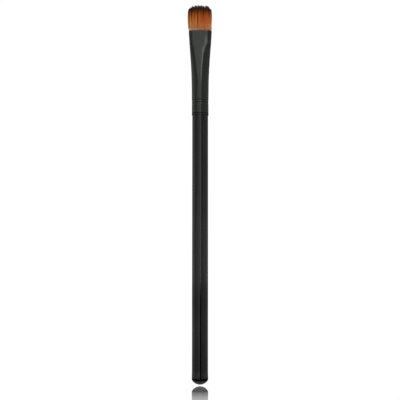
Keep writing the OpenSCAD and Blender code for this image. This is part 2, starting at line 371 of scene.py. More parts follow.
class EffectLibrary:
    """Builds each shared effect once, and places it in materials."""

    def __init__(self) -> None:
        """Builds the groups."""
        self.groups = {
            Effect.LENGTH_LINES: self._length_lines(),
            Effect.FINE_GRAIN: self._fine_grain(),
            Effect.HANDLING: self._handling(),
        }

    @staticmethod
    def _group(effect: Effect, inputs: dict[str, float], outputs: list[str]) -> tuple[Graph, Node, Node]:
        """Starts a group with named inputs and outputs.

        Args:
            effect: The effect that the group makes.
            inputs: Each input's name and value.
            outputs: Each output's name.

        Returns:
            The group's graph, and its input and output nodes.
        """
        tree = bpy.data.node_groups.new(effect.value, "ShaderNodeTree")
        for label, value in inputs.items():
            socket = tree.interface.new_socket(label, in_out="INPUT", socket_type="NodeSocketFloat")
            socket.default_value = value
        for label in outputs:
            tree.interface.new_socket(label, in_out="OUTPUT", socket_type="NodeSocketFloat")
        graph = Graph(tree)
        return graph, tree.nodes.new("NodeGroupInput"), tree.nodes.new("NodeGroupOutput")

    def _length_lines(self) -> bpy.types.NodeTree:
        """Fine lines that run along the brush, as drawing metal or laying hair leaves them.

        Returns:
            The group.
        """
        graph, entry, leave = self._group(
            Effect.LENGTH_LINES, {"Lines Per Metre": 4000.0, "Stretch": 60.0, "Detail": 2.0}, ["Lines"])
        faint, full = 0.25, 0.75
        across = entry.outputs["Lines Per Metre"]
        along = graph.maths("DIVIDE", across, entry.outputs["Stretch"])
        scale = graph.node("CombineXYZ", {}, {0: across, 1: across, 2: along}).outputs[0]
        drawn = graph.node("VectorMath", {"operation": "MULTIPLY"}, {0: graph.place(), 1: scale}).outputs[0]
        noise = graph.node("TexNoise", {}, {
            "Vector": drawn, "Scale": 1.0, "Detail": entry.outputs["Detail"], "Roughness": 0.6})
        graph.feed(leave, "Lines", graph.spread(noise.outputs[0], faint, full, 0.0, 1.0))
        return graph.tree

    def _fine_grain(self) -> bpy.types.NodeTree:
        """An even fine grain, such as a coat's texture or a lacquer's ripple.

        Returns:
            The group.
        """
        graph, entry, leave = self._group(
            Effect.FINE_GRAIN, {"Grains Per Metre": 2000.0, "Detail": 3.0}, ["Height", "Speckle"])
        finer, speck, clear = 2.7, 0.05, 0.6
        place, rate = graph.place(), entry.outputs["Grains Per Metre"]
        noise = graph.node("TexNoise", {}, {
            "Vector": place, "Scale": rate, "Detail": entry.outputs["Detail"], "Roughness": 0.55})
        small = graph.maths("MULTIPLY", rate, finer)
        cells = graph.node("TexVoronoi", {}, {"Vector": place, "Scale": small})
        graph.feed(leave, "Height", noise.outputs[0])
        graph.feed(leave, "Speckle", graph.spread(cells.outputs["Distance"], speck, clear, 1.0, 0.0))
        return graph.tree

    def _handling(self) -> bpy.types.NodeTree:
        """The marks of handling: short hair-fine scratches and wide faint smears.

        Returns:
            The group.
        """
        graph, entry, leave = self._group(
            Effect.HANDLING, {"Marks Per Metre": 260.0, "Scratch Width": 0.02, "Amount": 1.0},
            ["Scratches", "Smears"])
        bent = (0.004, 0.004, 0.012)
        patch_from, patch_full, patch_rate = 0.52, 0.66, 0.9
        smear_from, smear_full, smear_rate = 0.42, 0.7, 0.35
        place = graph.place()
        rate, amount = entry.outputs["Marks Per Metre"], entry.outputs["Amount"]
        bend = graph.node("TexNoise", {}, {"Vector": place, "Scale": rate, "Detail": 1.0})
        moved = graph.node("VectorMath", {"operation": "MULTIPLY_ADD"},
                           {0: bend.outputs["Color"], 1: bent, 2: place}).outputs[0]
        lines = graph.node("TexVoronoi", {"feature": "DISTANCE_TO_EDGE"}, {"Vector": moved, "Scale": rate})
        thin = graph.spread(lines.outputs["Distance"], 0.0, entry.outputs["Scratch Width"], 1.0, 0.0)
        patches = graph.node("TexNoise", {}, {
            "Vector": place, "Scale": graph.maths("MULTIPLY", rate, patch_rate), "Detail": 4.0})
        short = graph.maths("MULTIPLY", thin,
                            graph.spread(patches.outputs[0], patch_from, patch_full, 0.0, 1.0))
        smear = graph.node("TexNoise", {}, {
            "Vector": place, "Scale": graph.maths("MULTIPLY", rate, smear_rate), "Detail": 5.0,
            "Distortion": 0.6})
        soft = graph.spread(smear.outputs[0], smear_from, smear_full, 0.0, 1.0)
        graph.feed(leave, "Scratches", graph.maths("MULTIPLY", short, amount))
        graph.feed(leave, "Smears", graph.maths("MULTIPLY", soft, amount))
        return graph.tree

    def place(self, graph: Graph, effect: Effect, **values: float) -> Node:
        """Places a shared effect in a material.

        Args:
            graph: The material's graph.
            effect: Which effect.
            values: The group's inputs, with underscores for the spaces in their names.

        Returns:
            The group's node in that material.
        """
        made = graph.tree.nodes.new("ShaderNodeGroup")
        made.node_tree = self.groups[effect]
        for key, value in values.items():
            made.inputs[key.replace("_", " ").title()].default_value = value
        return made


# Finishes


@dataclass(frozen=True)
class Finish:
    """What every finish has: a name and the record's material slot."""

    name: str
    slot: str

    def blank(self) -> tuple[bpy.types.Material, Graph]:
        """Starts the material with an empty tree.

        Returns:
            The material and its graph.
        """
        material = bpy.data.materials.new(self.name)
        material.use_nodes = True
        return material, Graph(material.node_tree)

    def start(self) -> tuple[bpy.types.Material, Graph, Node]:
        """Starts the material with its shader and output.

        Returns:
            The material, its graph and its shader node.
        """
        material, graph = self.blank()
        shader = graph.node("BsdfPrincipled")
        graph.node("OutputMaterial", {}, {"Surface": shader.outputs[0]})
        return material, graph, shader

    def raise_surface(self, graph: Graph, shader: Node, height: Socket, distance: float) -> None:
        """Feeds a height to the shader's normal.

        Args:
            graph: The material's graph.
            shader: The material's shader.
            height: The height's socket, from 0 to 1.
            distance: What a height of 1 stands for, in metres.
        """
        bump = graph.node("Bump", {}, {"Strength": 1.0, "Distance": distance, "Height": height})
        graph.feed(shader, "Normal", bump.outputs[0])


@dataclass(frozen=True)
class BlackLacquer(Finish):
    """Gloss black lacquer over turned wood, which is bare on the tenon."""

    black: Colour = (0.0016, 0.0016, 0.0019)
    smear: Colour = (0.0060, 0.0060, 0.0066)
    wood: Colour = (0.46, 0.30, 0.15)
    late_wood: Colour = (0.30, 0.17, 0.075)
    tenon_from: float = 117.6 * MM
    roughness: float = 0.05
    smear_roughness: float = 0.09
    rougher_scratch: float = 0.15
    rougher_wood: float = 0.5
    scratch_share: float = 0.2
    ripple_height: float = 0.0016 * MM
    refraction: float = 1.5

    def material(self, effects: EffectLibrary) -> bpy.types.Material:
        """Builds the finish.

        Args:
            effects: The shared effects.

        Returns:
            The material.
        """
        material, graph, shader = self.start()
        ripple = effects.place(graph, Effect.FINE_GRAIN, grains_per_metre=620.0, detail=1.0)
        marks = effects.place(graph, Effect.HANDLING, marks_per_metre=240.0, scratch_width=0.012, amount=1.0)
        grain = effects.place(graph, Effect.LENGTH_LINES, lines_per_metre=2600.0, stretch=30.0, detail=4.0)
        scratches, smears = marks.outputs["Scratches"], marks.outputs["Smears"]
        height = graph.node("SeparateXYZ", {}, {0: graph.place()}).outputs[2]
        bare = graph.maths("GREATER_THAN", height, self.tenon_from)
        coat = graph.mix(smears, self.black, self.smear)
        wood = graph.mix(grain.outputs["Lines"], self.wood, self.late_wood)
        graph.feed(shader, "Base Color", graph.mix(bare, coat, wood))
        gloss = graph.spread(smears, 0.0, 1.0, self.roughness, self.smear_roughness)
        scuffed = graph.maths("MULTIPLY_ADD", scratches, self.rougher_scratch, gloss)
        graph.feed(shader, "Roughness", graph.maths("MULTIPLY_ADD", bare, self.rougher_wood, scuffed))
        lowered = graph.maths("MULTIPLY_ADD", scratches, -self.scratch_share, ripple.outputs["Height"])
        self.raise_surface(graph, shader, lowered, self.ripple_height)
        shader.inputs["IOR"].default_value = self.refraction
        return material


@dataclass(frozen=True)
class SatinCoat(Finish):
    """Satin black coat on drawn aluminium, rubbed a little thin where it is handled."""

    black: Colour = (0.0046, 0.0052, 0.0041)
    pale: Colour = (0.0078, 0.0088, 0.0071)
    metal: Colour = (0.30, 0.30, 0.29)
    line_share: float = 0.6
    rubbed_share: float = 0.10
    roughness: Span = (0.08, 0.14)
    rougher_smear: float = 0.05
    grain_height: float = 0.0005 * MM
    specular_level: float = 0.58
    tint: tuple[float, float, float, float] = (0.96, 1.0, 0.92, 1.0)

    def material(self, effects: EffectLibrary) -> bpy.types.Material:
        """Builds the finish.

        Args:
            effects: The shared effects.

        Returns:
            The material.
        """
        material, graph, shader = self.start()
        drawn = effects.place(graph, Effect.LENGTH_LINES, lines_per_metre=5200.0, stretch=70.0, detail=3.0)
        grain = effects.place(graph, Effect.FINE_GRAIN, grains_per_metre=5200.0, detail=3.0)
        marks = effects.place(graph, Effect.HANDLING, marks_per_metre=420.0, scratch_width=0.01, amount=0.8)
        lines = drawn.outputs["Lines"]
        coat = graph.mix(graph.maths("MULTIPLY", lines, self.line_share), self.black, self.pale)
        rubbed = graph.maths("MULTIPLY", marks.outputs["Scratches"], self.rubbed_share)
        graph.feed(shader, "Base Color", graph.mix(rubbed, coat, self.metal))
        rough = graph.spread(lines, 0.0, 1.0, *self.roughness)
        smeared = graph.maths("MULTIPLY_ADD", marks.outputs["Smears"], self.rougher_smear, rough)
        graph.feed(shader, "Roughness", smeared)
        relief = graph.maths("MULTIPLY_ADD", lines, self.line_share, grain.outputs["Height"])
        self.raise_surface(graph, shader, relief, self.grain_height)
        shader.inputs["Specular IOR Level"].default_value = self.specular_level
        shader.inputs["Specular Tint"].default_value = self.tint
        return material


@dataclass(frozen=True)
class BrownHair(Finish):
    """Brown hair with near-black tips, a paler foot, and a painted shade line where it meets the ferrule."""

    # Colours from the tips down, each with its distance as a share of the ramp's length
    ramp_length: float = 10.0 * MM
    colours: tuple[tuple[float, Colour], ...] = (
        (0.00, (0.012, 0.008, 0.002)),
        (0.17, (0.024, 0.008, 0.002)),
        (0.22, (0.047, 0.013, 0.002)),
        (0.28, (0.089, 0.021, 0.003)),
        (0.34, (0.166, 0.038, 0.003)),
        (0.43, (0.266, 0.062, 0.006)),
        (0.52, (0.356, 0.087, 0.010)),
        (0.69, (0.435, 0.114, 0.024)),
        (0.82, (0.492, 0.136, 0.034)),
        (0.94, (0.530, 0.178, 0.048)),
    )
    # Hues that tint the ramp: the golden one gains from the first share of the ramp to the second
    red: Colour = (1.02, 0.84, 0.80)
    golden: Colour = (1.17, 1.70, 2.14)
    golden_shares: Span = (0.3, 0.65)
    golden_at_tips: float = 0.5
    # The foot is full up to the first height and gone at the second, and so is the painted shade line
    left_foot: Colour = (0.95, 0.50, 0.42)
    right_foot: Colour = (0.50, 0.25, 0.14)
    foot_heights: Span = (0.5 * MM, 1.0 * MM)
    painted_contact_shade: Colour = (0.20, 0.16, 0.13)
    painted_shade_heights: Span = (0.12 * MM, 0.62 * MM)
    painted_shade_lower_left: float = 0.22 * MM
    line_shades: Span = (0.88, 1.12)
    # Shaded hairs lose green and blue faster than red
    green_power: float = 1.8
    blue_power: float = 3.1
    roughness: Span = (0.50, 0.63)
    specular_level: float = 0.08

    def material(self, effects: EffectLibrary) -> bpy.types.Material:
        """Builds the finish. It reads what the tuft's mesh says of each hair.

        Args:
            effects: The shared effects.

        Returns:
            The material.
        """
        material, graph, shader = self.start()
        from_foot, side = graph.held("from_foot"), graph.held("side")
        fibre = effects.place(graph, Effect.LENGTH_LINES, lines_per_metre=9000.0, stretch=40.0, detail=2.0)
        lines = fibre.outputs["Lines"]
        share = graph.maths("DIVIDE", graph.held("from_tip"), self.ramp_length)
        gain = graph.spread(share, *self.golden_shares, self.golden_at_tips, 1.0)
        hue = graph.mix(graph.maths("MULTIPLY", graph.held("gold"), gain), self.red, self.golden)
        hued = graph.mix(1.0, graph.ramp(share, self.colours), hue, "MULTIPLY")
        foot = graph.mix(side, self.left_foot, self.right_foot)
        footed = graph.mix(graph.spread(from_foot, *self.foot_heights, 1.0, 0.0), hued, foot)
        # Painted shade: a dark line along the foot where the hairs meet the ferrule, reaching less far up at
        # the left
        shifted = graph.maths("ADD", from_foot, graph.spread(side, 0.0, 1.0, self.painted_shade_lower_left, 0.0))
        painted_shade_share = graph.spread(shifted, *self.painted_shade_heights, 1.0, 0.0)
        body = graph.mix(painted_shade_share, footed, graph.mix(1.0, footed, self.painted_contact_shade, "MULTIPLY"))
        shade = graph.maths("MULTIPLY", graph.held("tone_and_painted_shade"), graph.spread(lines, 0.0, 1.0, *self.line_shades))
        green, blue = (graph.maths("POWER", shade, power) for power in (self.green_power, self.blue_power))
        shades = graph.node("CombineColor", {}, {0: shade, 1: green, 2: blue}).outputs[0]
        graph.feed(shader, "Base Color", graph.mix(1.0, body, shades, "MULTIPLY"))
        graph.feed(shader, "Roughness", graph.spread(lines, 0.0, 1.0, *self.roughness))
        shader.inputs["Specular IOR Level"].default_value = self.specular_level
        return material


@dataclass(frozen=True)
class SetResin(Finish):
    """Clear yellowish resin or glue, set hard, with small bubbles in it."""

    thin: Colour = (0.80, 0.68, 0.42)
    thick: Colour = (0.56, 0.40, 0.17)
    bubbles_per_metre: float = 2400.0
    roughness: Span = (0.14, 0.36)
    bubble: Colour = (0.93, 0.88, 0.74)
    bubble_share: float = 0.35
    bubble_height: float = 0.01 * MM
    glow_through: float = 0.25
    glow_reach: Colour = (0.6 * MM, 0.4 * MM, 0.2 * MM)

    def material(self, effects: EffectLibrary) -> bpy.types.Material:
        """Builds the finish.

        Args:
            effects: The shared effects.

        Returns:
            The material.
        """
        material, graph, shader = self.start()
        low, high = 0.3, 0.7
        grain = effects.place(graph, Effect.FINE_GRAIN, grains_per_metre=self.bubbles_per_metre, detail=4.0)
        runs = effects.place(graph, Effect.LENGTH_LINES, lines_per_metre=700.0, stretch=2.5, detail=2.0)
        body = graph.mix(runs.outputs["Lines"], self.thin, self.thick)
        bubbles = graph.maths("MULTIPLY", grain.outputs["Speckle"], self.bubble_share)
        graph.feed(shader, "Base Color", graph.mix(bubbles, body, self.bubble))
        graph.feed(shader, "Roughness", graph.spread(grain.outputs["Height"], low, high, *self.roughness))
        self.raise_surface(graph, shader, grain.outputs["Height"], self.bubble_height)
        shader.inputs["Subsurface Weight"].default_value = self.glow_through
        shader.inputs["Subsurface Radius"].default_value = self.glow_reach
        return material


@dataclass(frozen=True)
class CottonThread(Finish):
    """Twisted cotton thread, soaked with resin."""

    pale: Colour = (0.84, 0.79, 0.66)
    shaded: Colour = (0.58, 0.50, 0.36)
    twists_per_metre: float = 5200.0
    fibre_shades: Span = (0.6, 1.0)
    twist_height: float = 0.03 * MM
    roughness: float = 0.85

    def material(self, effects: EffectLibrary) -> bpy.types.Material:
        """Builds the finish.

        Args:
            effects: The shared effects.

        Returns:
            The material.
        """
        material, graph, shader = self.start()
        low, high = 0.2, 0.8
        part = graph.node("SeparateXYZ", {}, {0: graph.place()})
        lean = graph.maths("ADD", graph.maths("ADD", part.outputs[0], part.outputs[1]), part.outputs[2])
        turn = graph.maths("SINE", graph.maths("MULTIPLY", lean, FULL_TURN * self.twists_per_metre))
        twist = graph.spread(turn, -1.0, 1.0, 0.0, 1.0)
        fibre = effects.place(graph, Effect.FINE_GRAIN, grains_per_metre=9000.0, detail=5.0)
        shade = graph.spread(fibre.outputs["Height"], low, high, *self.fibre_shades)
        mixed = graph.maths("MULTIPLY", twist, shade)
        graph.feed(shader, "Base Color", graph.mix(mixed, self.shaded, self.pale))
        self.raise_surface(graph, shader, mixed, self.twist_height)
        shader.inputs["Roughness"].default_value = self.roughness
        return material


@dataclass(frozen=True)
class PolishedFloor(Finish):
    """A polished white floor, which mirrors what stands on it, less and less with distance."""

    # How much the camera sees of the mirror image, and over which distances it fades
    mirror_near: float = 0.93
    mirror_fade: Span = (17.0 * MM, 78.0 * MM)
    # What the brush itself sees in the floor: a bright patch under it, a dull ring round that,
    # and gloss beyond, apart from a dull strip towards the camera, given by its azimuths
    patch_glow: float = 0.42
    patch_fade: Span = (3.5 * MM, 4.8 * MM)
    gloss: float = 0.85
    gloss_roughness: float = 0.04
    gloss_refraction: float = 1.33
    gloss_gain: Span = (23.0 * MM, 30.0 * MM)
    dull_strip: Span = (-1.0, 19.0)
    strip_edge: float = 5.0
    shade: Colour = (0.003, 0.003, 0.003)
    shade_grain: Colour = (0.007, 0.007, 0.007)
    # A faint glow of the glossy part, which only low rays meet and which fades far out
    far_glow: float = 0.33
    far_fade: Span = (250.0 * MM, 700.0 * MM)

    def material(self, effects: EffectLibrary) -> bpy.types.Material:
        """Builds the finish.

        Args:
            effects: The shared effects.

        Returns:
            The material.
        """
        material, graph = self.blank()
        place = graph.place()
        distance = graph.node("VectorMath", {"operation": "LENGTH"}, {0: place}).outputs["Value"]
        mirror = graph.spread(distance, *self.mirror_fade, self.mirror_near, 0.0)
        image = graph.node("BsdfGlossy", {}, {"Color": PLAIN_WHITE, "Roughness": 0.0})
        white = graph.node("Emission", {}, {"Color": PLAIN_WHITE, "Strength": WHITE_GLOW})
        seen = graph.node("MixShader", {}, {0: mirror, 1: white.outputs[0], 2: image.outputs[0]})
        grain = effects.place(graph, Effect.FINE_GRAIN, grains_per_metre=300.0, detail=2.0)
        tint = graph.mix(grain.outputs["Height"], self.shade, self.shade_grain)
        matt = graph.node("BsdfDiffuse", {}, {"Color": tint})
        grey = (self.gloss, self.gloss, self.gloss, 1.0)
        polish = graph.node("BsdfGlossy", {}, {"Color": grey, "Roughness": self.gloss_roughness})
        strip = graph.window(graph.azimuth(place), *self.dull_strip, self.strip_edge)
        clear = graph.maths("MULTIPLY", graph.maths("SUBTRACT", 1.0, strip),
                            graph.spread(distance, *self.gloss_gain, 0.0, 1.0))
        fresnel = graph.node("Fresnel", {}, {"IOR": self.gloss_refraction}).outputs[0]
        shine = graph.maths("MULTIPLY", fresnel, clear)
        lit = graph.node("MixShader", {}, {0: shine, 1: matt.outputs[0], 2: polish.outputs[0]})
        near = graph.spread(distance, *self.patch_fade, self.patch_glow, 0.0)
        far = graph.spread(distance, *self.far_fade, self.far_glow, 0.0)
        glow = graph.maths("MULTIPLY_ADD", far, shine, near)
        patch = graph.node("Emission", {}, {"Color": PLAIN_WHITE, "Strength": glow})
        felt = graph.node("AddShader", {}, {0: lit.outputs[0], 1: patch.outputs[0]})
        ray = graph.node("LightPath").outputs["Is Camera Ray"]
        both = graph.node("MixShader", {}, {0: ray, 1: felt.outputs[0], 2: seen.outputs[0]})
        graph.node("OutputMaterial", {}, {"Surface": both.outputs[0]})
        return material


# The brush


@dataclass
class Ferrule:
    """The thin metal tube: round and crimped at the handle, pressed flat at the hair."""

    start: float = 117.63 * MM
    length: float = 37.6 * MM
    round_length: float = 8.6 * MM
    skirt_radius: float = 3.675 * MM
    tube_radius: float = 3.715 * MM
    wall: float = 0.3 * MM
    # The rolled rim, and the groove above it: a ledge, then a slope that runs out in the tube
    rim_height: float = 0.42 * MM
    rim_edge: float = 0.004 * MM
    rim_proud: float = 0.07 * MM
    neck_width: float = 0.37 * MM
    neck_depth: float = 0.20 * MM
    neck_shares: tuple[float, ...] = (0.0, 0.3, 0.6, 0.85, 0.96, 1.04, 1.15)
    neck_depth_shares: tuple[float, ...] = (1.0, 0.7, 0.4, 0.15, 0.045, 0.01, 0.0)
    # The crimps, each with a steep flank above and a slow one below
    crimp_count: int = 2
    crimp_start: float = 5.23 * MM
    crimp_pitch: float = 1.14 * MM
    crimp_above: float = 0.26 * MM
    crimp_below: float = 0.80 * MM
    crimp_depth: float = 0.08 * MM
    # The pressed length: how height, width and thickness go over from round to flat
    mouth_width: float = 10.28 * MM
    mouth_thickness: float = 3.3 * MM
    rise_shares: Curve = (0.0, 0.5, 0.62, 1.0)
    width_shares: Curve = (0.0, 0.05, 0.6, 1.0)
    thickness_shares: Curve = (0.0, 0.05, 1.0, 1.0)
    round_power: float = 2.0
    taper_power: float = 0.8
    pad_power: float = 1.7
    # The pad that flat jaws press into both faces at the mouth
    pad_length: float = 5.3 * MM
    pad_blend: float = 3.2 * MM
    pad_blend_share: float = 0.6
    pad_press: float = 0.07 * MM
    pad_half_width: float = 3.1 * MM
    pad_foot_half_width: float = 1.75 * MM
    pad_edge: float = 0.4 * MM
    lip_rounding: float = 0.05 * MM
    lip_rings: int = 5
    crimp_rings: int = 9
    plain_rings: int = 6
    facets: int = 240
    press_steps: int = 130
    inner_step: int = 5
    inner_round_shares: tuple[float, ...] = (0.9, 0.55, 0.0)

    @property
    def mouth(self) -> float:
        """Height of the mouth."""
        return self.start + self.length

    def crimp_heights(self) -> np.ndarray:
        """Heights above the tube's end that follow every crimp closely.

        Returns:
            An array of heights.
        """
        below = np.linspace(-self.crimp_below, 0.0, self.crimp_rings)[:-1]
        around = np.concatenate([below, np.linspace(0.0, self.crimp_above, self.crimp_rings)])
        starts = self.crimp_start + self.crimp_pitch * np.arange(self.crimp_count)
        return (starts[:, None] + around).ravel()

    def crimp_dips(self, heights: np.ndarray) -> np.ndarray:
        """How deep the crimps are.

        Args:
            heights: Heights above the tube's end.

        Returns:
            The depth at each height.
        """
        depth = np.zeros_like(heights)
        for k in range(self.crimp_count):
            x = heights - self.crimp_start - k * self.crimp_pitch
            share = np.minimum(np.where(x > 0.0, x / self.crimp_above, -x / self.crimp_below), 1.0)
            depth += self.crimp_depth * (1.0 + np.cos(math.pi * share)) / 2.0
        return depth

    def round_radius(self, heights: np.ndarray) -> np.ndarray:
        """Outer radius of the round length.

        Args:
            heights: Heights above the tube's end.

        Returns:
            The radius at each height.
        """
        draw = self.crimp_pitch * (self.crimp_count - 1) + self.crimp_above + self.crimp_below
        drawn = ease((heights - self.crimp_start) / draw)
        return self.skirt_radius + (self.tube_radius - self.skirt_radius) * drawn - self.crimp_dips(heights)

    def section(self, s: float) -> tuple[float, FlatSection]:
        """One level of the pressed length.

        Args:
            s: Where, from 0 at the round tube to 1 at the mouth.

        Returns:
            The level's height and its section.
        """
        low = self.start + self.round_length
        width = cubic(self.width_shares, s)
        thickness = cubic(self.thickness_shares, s)
        z = low + (self.mouth - low) * cubic(self.rise_shares, s)
        flatter = float(ease((z - self.mouth + self.pad_length) / self.pad_blend + 1.0))
        return z, FlatSection(
            self.tube_radius + (self.mouth_width / 2.0 - self.tube_radius) * width,
            self.tube_radius + (self.mouth_thickness / 2.0 - self.tube_radius) * thickness,
            self.round_power + self.taper_power * width + self.pad_power * flatter,
        )

    def rim_profile(self) -> np.ndarray:
        """The flat band of the rolled rim with its broken edges, and the groove above it.

        Returns:
            An array of points, as radius and height above the tube's end.
        """
        side = self.skirt_radius + self.rim_proud - self.rim_edge
        under = arc((side, self.rim_edge), self.rim_edge, -90.0, 0.0, 1)
        over = arc((side, self.rim_height - self.rim_edge), self.rim_edge, 0.0, 90.0, 1)
        neck = np.column_stack([
            self.skirt_radius - self.neck_depth * np.array(self.neck_depth_shares),
            self.rim_height + self.neck_width * np.array(self.neck_shares),
        ])
        return np.concatenate([under, over, neck])

    def pad_dent(self, x: np.ndarray, z: float) -> np.ndarray:
        """How deep the flat jaws press the pad at the mouth into both faces.

        Args:
            x: Places across the width.
            z: The height.

        Returns:
            The depth at each place.
        """
        low = self.mouth - self.pad_length
        foot = low - self.pad_blend
        half = np.interp(z, [foot, low], [self.pad_foot_half_width, self.pad_half_width])
        inside = ease((half - np.abs(x)) / self.pad_edge + 0.5)
        return self.pad_press * inside * ease((z - foot) / self.pad_blend + self.pad_blend_share)

    def level(self, z: float, section: FlatSection, depth: float) -> np.ndarray:
        """A ring of points at one height.

        Args:
            z: The height.
            section: The tube's section there.
            depth: How far inside the section the ring lies.

        Returns:
            An array of points.
        """
        flat = section.outline(depth, self.facets)
        y = flat[:, 1] - np.sign(flat[:, 1]) * self.pad_dent(flat[:, 0], z)
        return np.column_stack([flat[:, 0], y, np.full(len(flat), z)])

    def outside(self) -> list[np.ndarray]:
        """The rings of the round length, from the tube's end up.

        Returns:
            A list of rings.
        """
        rim = self.rim_profile()
        crimps = self.crimp_heights()
        skirt = np.linspace(rim[-1, 1], self.crimp_start - self.crimp_below, self.plain_rings + 2)[1:-1]
        above = np.linspace(crimps[-1], self.round_length, self.plain_rings + 2)[1:-1]
        heights = np.concatenate([skirt, crimps, above])
        profile = np.concatenate([rim, np.column_stack([self.round_radius(heights), heights])])
        return [self.level(self.start + h, FlatSection(r, r, self.round_power), 0.0) for r, h in profile]

    def lip(self, section: FlatSection) -> list[np.ndarray]:
        """The rounded lip at the mouth.

        Args:
            section: The mouth's section.

        Returns:
            A list of rings, from the outside over the lip to the inside.
        """
        turn = np.radians(np.linspace(0.0, 90.0, self.lip_rings))
        heights = self.mouth - self.lip_rounding * (1.0 - np.sin(turn))
        depths = self.lip_rounding * (1.0 - np.cos(turn))
        outer = [self.level(z, section, d) for z, d in zip(heights, depths)]
        inner = [self.level(z, section, self.wall - d) for z, d in zip(heights, depths)]
        return outer + inner[::-1]

    def build(self) -> bpy.types.Object:
        """Builds the tube through its rings: up the outside, over the lip and down the inside.

        Returns:
            The ferrule's object.
        """
        pressed = [self.section(s) for s in np.linspace(0.0, 1.0, self.press_steps + 1)]
        rings = self.outside()
        rings += [self.level(z, section, 0.0) for z, section in pressed[:-1]]
        rings += self.lip(pressed[-1][1])
        rings += [self.level(z, section, self.wall) for z, section in pressed[-3::-self.inner_step]]
        inner = self.round_length * np.array(self.inner_round_shares)
        for r, h in zip(self.round_radius(inner), inner):
            rings.append(self.level(self.start + h, FlatSection(r, r, self.round_power), self.wall))
        faces = wall_faces(len(rings), self.facets, loops=True)
        return make_piece("ferrule_coated", np.concatenate(rings), faces)

    def dress(self, piece: bpy.types.Object, finish: SatinCoat, effects: EffectLibrary) -> None:
        """Finishes the ferrule and puts it in the CAD ferrule's place.

        Args:
            piece: The ferrule's object.
            finish: The coat.
            effects: The shared effects.
        """
        piece.data.materials.append(finish.material(effects))
        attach(piece, "root")
        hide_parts("ferrule")


@dataclass
class Handle:
    """The turned and lacquered handle, with the tenon that the ferrule hides."""

    barrel_radius: float = 3.5 * MM
    butt_radius: float = 3.58 * MM
    dome_rise: float = 2.2 * MM
    flare_length: float = 4.0 * MM
    # The butt's edge: a tight rounding at the dome, and a slow lead from it to the swell
    edge_rounding: float = 0.22 * MM
    edge_lead: float = 2.6 * MM
    edge_lead_turn: float = 12.0
    length: float = 117.6 * MM
    shoulder_chamfer: float = 0.04 * MM
    tenon_radius: float = 3.275 * MM
    tenon_length: float = 12.2 * MM
    tenon_lead_length: float = 2.0 * MM
    tenon_lead: float = 0.4 * MM
    facets: int = 160
    dome_steps: int = 30
    rounding_steps: int = 6
    lead_steps: int = 8
    swell_steps: int = 16
    barrel_steps: int = 39
    closing_in: int = 12

    def butt_profile(self) -> np.ndarray:
        """The dome, its rounded edge and the swell above it.

        Returns:
            An array of points, as radius and height.
        """
        radius = (self.butt_radius**2 + self.dome_rise**2) / (2.0 * self.dome_rise)
        slow, tight = self.edge_lead, self.edge_rounding
        turn = math.radians(self.edge_lead_turn)
        inner = self.butt_radius - slow + (slow - tight) * math.cos(turn)
        # The dome's last angle, where the rounding takes over, closed in on step by step
        edge = 0.0
        for _ in range(self.closing_in):
            edge = math.asin((inner + tight * math.sin(edge)) / radius)
        dome_top = radius * (1.0 - math.cos(edge)) + tight * math.cos(edge)
        level = dome_top + (slow - tight) * math.sin(turn)
        meet = math.degrees(edge) - 90.0
        dome = arc((0.0, radius), radius, -90.0, meet, self.dome_steps)
        corner = arc((inner, dome_top), tight, meet, -self.edge_lead_turn, self.rounding_steps)[1:]
        lead = arc((self.butt_radius - slow, level), slow, -self.edge_lead_turn, 0.0, self.lead_steps)[1:]
        t = np.linspace(0.0, 1.0, self.swell_steps + 1)[1:]
        height = level + (self.dome_rise + self.flare_length - level) * t
        swell = self.barrel_radius + (self.butt_radius - self.barrel_radius) * (1.0 - ease(t))
        return np.concatenate([dome, corner, lead, np.stack([swell, height], axis=1)])

    def tenon_profile(self, ferrule: Ferrule) -> np.ndarray:
        """The shoulder and the tenon, with the grooves that the crimps press into it.

        Args:
            ferrule: The ferrule, whose crimps the tenon follows.

        Returns:
            An array of points, as radius and height.
        """
        end = self.length + self.tenon_length
        grooves = ferrule.crimp_heights()
        tenon = np.stack([self.tenon_radius - ferrule.crimp_dips(grooves), ferrule.start + grooves], axis=1)
        shoulder = np.array([
            [self.barrel_radius, self.length - self.shoulder_chamfer],
            [self.barrel_radius - self.shoulder_chamfer, self.length],
            [self.tenon_radius, self.length],
        ])
        lead = np.array([
            [self.tenon_radius, end - self.tenon_lead_length],
            [self.tenon_radius - self.tenon_lead, end],
        ])
        return np.concatenate([shoulder, tenon, lead])

    def build(self, ferrule: Ferrule) -> bpy.types.Object:
        """Turns the handle.

        Args:
            ferrule: The ferrule that it seats in.

        Returns:
            The handle's object.
        """
        butt = self.butt_profile()
        shoulder = self.length - self.shoulder_chamfer
        levels = np.linspace(butt[-1, 1], shoulder, self.barrel_steps + 1)[1:-1]
        barrel = np.stack([np.full(levels.size, self.barrel_radius), levels], axis=1)
        profile = np.concatenate([butt[1:], barrel, self.tenon_profile(ferrule)])
        count = len(profile)
        faces = wall_faces(count, self.facets, loops=False)
        last, foot, head = (count - 1) * self.facets, count * self.facets, count * self.facets + 1
        for i in range(self.facets):
            j = (i + 1) % self.facets
            faces.append((foot, j, i))
            faces.append((head, last + i, last + j))
        ends = np.array([[0.0, 0.0, 0.0], [0.0, 0.0, self.length + self.tenon_length]])
        points = np.concatenate([lathe_rings(profile, self.facets).reshape(-1, 3), ends])
        return make_piece("handle_lacquered", points, faces)

    def dress(self, piece: bpy.types.Object, finish: BlackLacquer, effects: EffectLibrary) -> None:
        """Finishes the handle and puts it in the CAD handle's place.

        Args:
            piece: The handle's object.
            finish: The lacquer.
            effects: The shared effects.
        """
        piece.data.materials.append(finish.material(effects))
        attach(piece, "root")
        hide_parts("handle")


@dataclass(frozen=True)
class Streak:
    """A line of hairs down from the crown, darkened by painted shade as in a parting between locks; below 0
    it is lightened as a painted highlight instead.
    """

    place: float
    length: float
    width: float
    painted_shade: float


@dataclass(frozen=True)
class Lock:
    """What each hair has from its lock, as arrays with a row for each hair."""

    centre: np.ndarray
    lean: np.ndarray
    chance: np.ndarray
    off: np.ndarray


